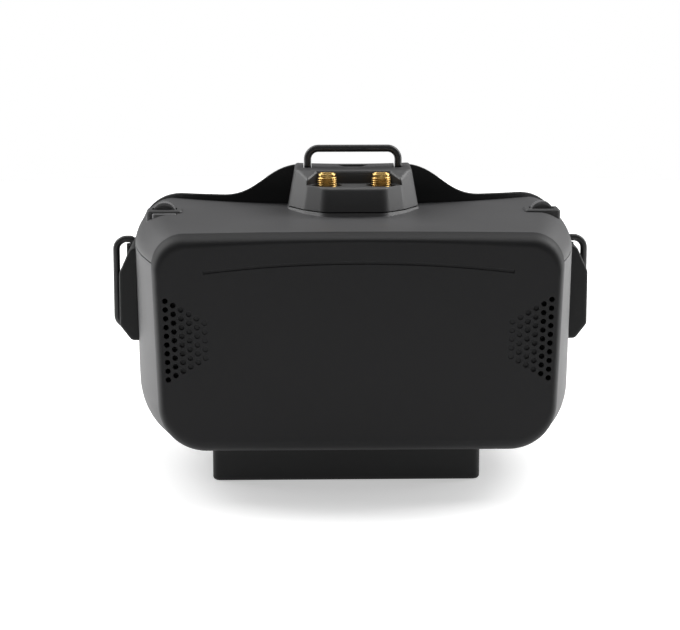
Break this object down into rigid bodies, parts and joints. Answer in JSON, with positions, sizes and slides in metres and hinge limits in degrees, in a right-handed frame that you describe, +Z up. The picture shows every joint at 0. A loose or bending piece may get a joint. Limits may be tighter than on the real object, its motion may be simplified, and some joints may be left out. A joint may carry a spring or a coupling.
{
  "type": "fpv goggles",
  "caption": "Box-shaped video goggles for flying radio-controlled models, with a padded face frame, an antenna module on top, strap loops and two thumb wheels.",
  "frame": {"origin": "on the surface that the goggles stand on, under the middle of the object's box", "axes": "+Z up, +Y from the front cover to the wearer's face, +X to the right of somebody who looks at the front cover"},
  "size_m": [0.1638, 0.1, 0.1042],
  "materials": {
    "cover_plastic": "fine spark-eroded texture, near black",
    "shell_plastic": "fine spark-eroded texture, dark grey",
    "black_plastic": "fine texture, black",
    "cushion_fabric": "brushed knit over foam",
    "nose_rubber": "matte silicone",
    "loop_paint": "black powder coat on steel wire",
    "wheel_plastic": "satin",
    "inner_plastic": "matt black",
    "gold_plating": "gold plated",
    "white_insulator": "fluoropolymer",
    "circuit_board": "solder mask",
    "tinned_steel": "tinned",
    "chip_resin": "moulded resin",
    "sink_aluminium": "extruded",
    "cable_film": "polyimide film",
    "display_glass": "polarizer over glass",
    "lens_clear": "moulded clear acrylic, coated",
    "filter_foam": "open-cell foam",
    "screw_steel": "blackened",
    "insert_brass": "knurled"
  },
  "bodies": {
    "casing": {"antenna_cap": "shell_plastic", "av_jack": "inner_plastic", "buzzer": "inner_plastic", "card_slot": "tinned_steel", "display_cable": "cable_film", "eye_surround": "inner_plastic", "face_cushion": "cushion_fabric", "face_frame": "black_plastic", "face_frame_screws": "screw_steel", "fan_frame": "inner_plastic", "front_cover": "cover_plastic", "hdmi_socket": "tinned_steel", "heat_sink": "sink_aluminium", "housing_screws": "screw_steel", "io_board": "circuit_board", "io_cover": "black_plastic", "io_cover_screws": "screw_steel", "io_housing": "black_plastic", "lcd_frame": "inner_plastic", "lcd_panel": "display_glass", "lens": "lens_clear", "lens_frame": "inner_plastic", "light_tunnel": "inner_plastic", "lower_shell": "shell_plastic", "main_board": "circuit_board", "main_chips": "chip_resin", "nose_bridge": "nose_rubber", "power_jack": "inner_plastic", "receiver_board": "circuit_board", "receiver_modules": "tinned_steel", "side_pod_left": "black_plastic", "side_pod_right": "black_plastic", "sma_connector_left": "gold_plating", "sma_connector_right": "gold_plating", "sma_contacts": "gold_plating", "sma_insulators": "white_insulator", "sma_nuts": "gold_plating", "sma_washers": "gold_plating", "tact_switches": "tinned_steel", "threaded_inserts": "insert_brass", "upper_shell": "shell_plastic", "usb_socket": "tinned_steel", "vent_filter_left": "filter_foam", "vent_filter_right": "filter_foam", "wheel_boards": "circuit_board"},
    "left_carrier": {"left_wheel_carrier": "inner_plastic"},
    "right_carrier": {"right_wheel_carrier": "inner_plastic"},
    "left_wheel": {"left_wheel": "wheel_plastic"},
    "right_wheel": {"right_wheel": "wheel_plastic"},
    "power_button": {"power_button": "wheel_plastic"},
    "fan_rotor": {"fan_rotor": "inner_plastic"},
    "top_loop": {"top_strap_loop": "loop_paint"},
    "left_loop": {"left_strap_loop": "loop_paint"},
    "right_loop": {"right_strap_loop": "loop_paint"}
  },
  "joints": [
    {"name": "left_wheel_press", "type": "slide", "parent": "casing", "child": "left_carrier", "axis": [0, 0, -1], "range_m": [0, 0.0005], "stiffness_N_per_m": 900, "springref_m": -0.0008},
    {"name": "right_wheel_press", "type": "slide", "parent": "casing", "child": "right_carrier", "axis": [0, 0, -1], "range_m": [0, 0.0005], "stiffness_N_per_m": 900, "springref_m": -0.0008},
    {"name": "left_wheel_spin", "type": "hinge", "parent": "left_carrier", "child": "left_wheel", "pos_m": [-0.0623, 0.0021, 0.0824], "axis": [0, 1, 0], "continuous": true},
    {"name": "right_wheel_spin", "type": "hinge", "parent": "right_carrier", "child": "right_wheel", "pos_m": [0.0623, 0.0021, 0.0824], "axis": [0, 1, 0], "continuous": true},
    {"name": "power_button_press", "type": "slide", "parent": "casing", "child": "power_button", "axis": [0, 0, -1], "range_m": [0, 0.0006], "stiffness_N_per_m": 900, "springref_m": -0.0008},
    {"name": "fan_spin", "type": "hinge", "parent": "casing", "child": "fan_rotor", "pos_m": [-0.0585, -0.0165, 0.0485], "axis": [1, 0, 0], "continuous": true},
    {"name": "top_loop_swing", "type": "hinge", "parent": "casing", "child": "top_loop", "pos_m": [0, 0.0092, 0.0948], "axis": [-1, 0, 0], "range_deg": [-25, 55]},
    {"name": "left_loop_swing", "type": "hinge", "parent": "casing", "child": "left_loop", "pos_m": [-0.0747, 0.031, 0.0546], "axis": [0, 0, -1], "range_deg": [-20, 80]},
    {"name": "right_loop_swing", "type": "hinge", "parent": "casing", "child": "right_loop", "pos_m": [0.0747, 0.031, 0.0546], "axis": [0, 0, 1], "range_deg": [-20, 80]}
  ]
}
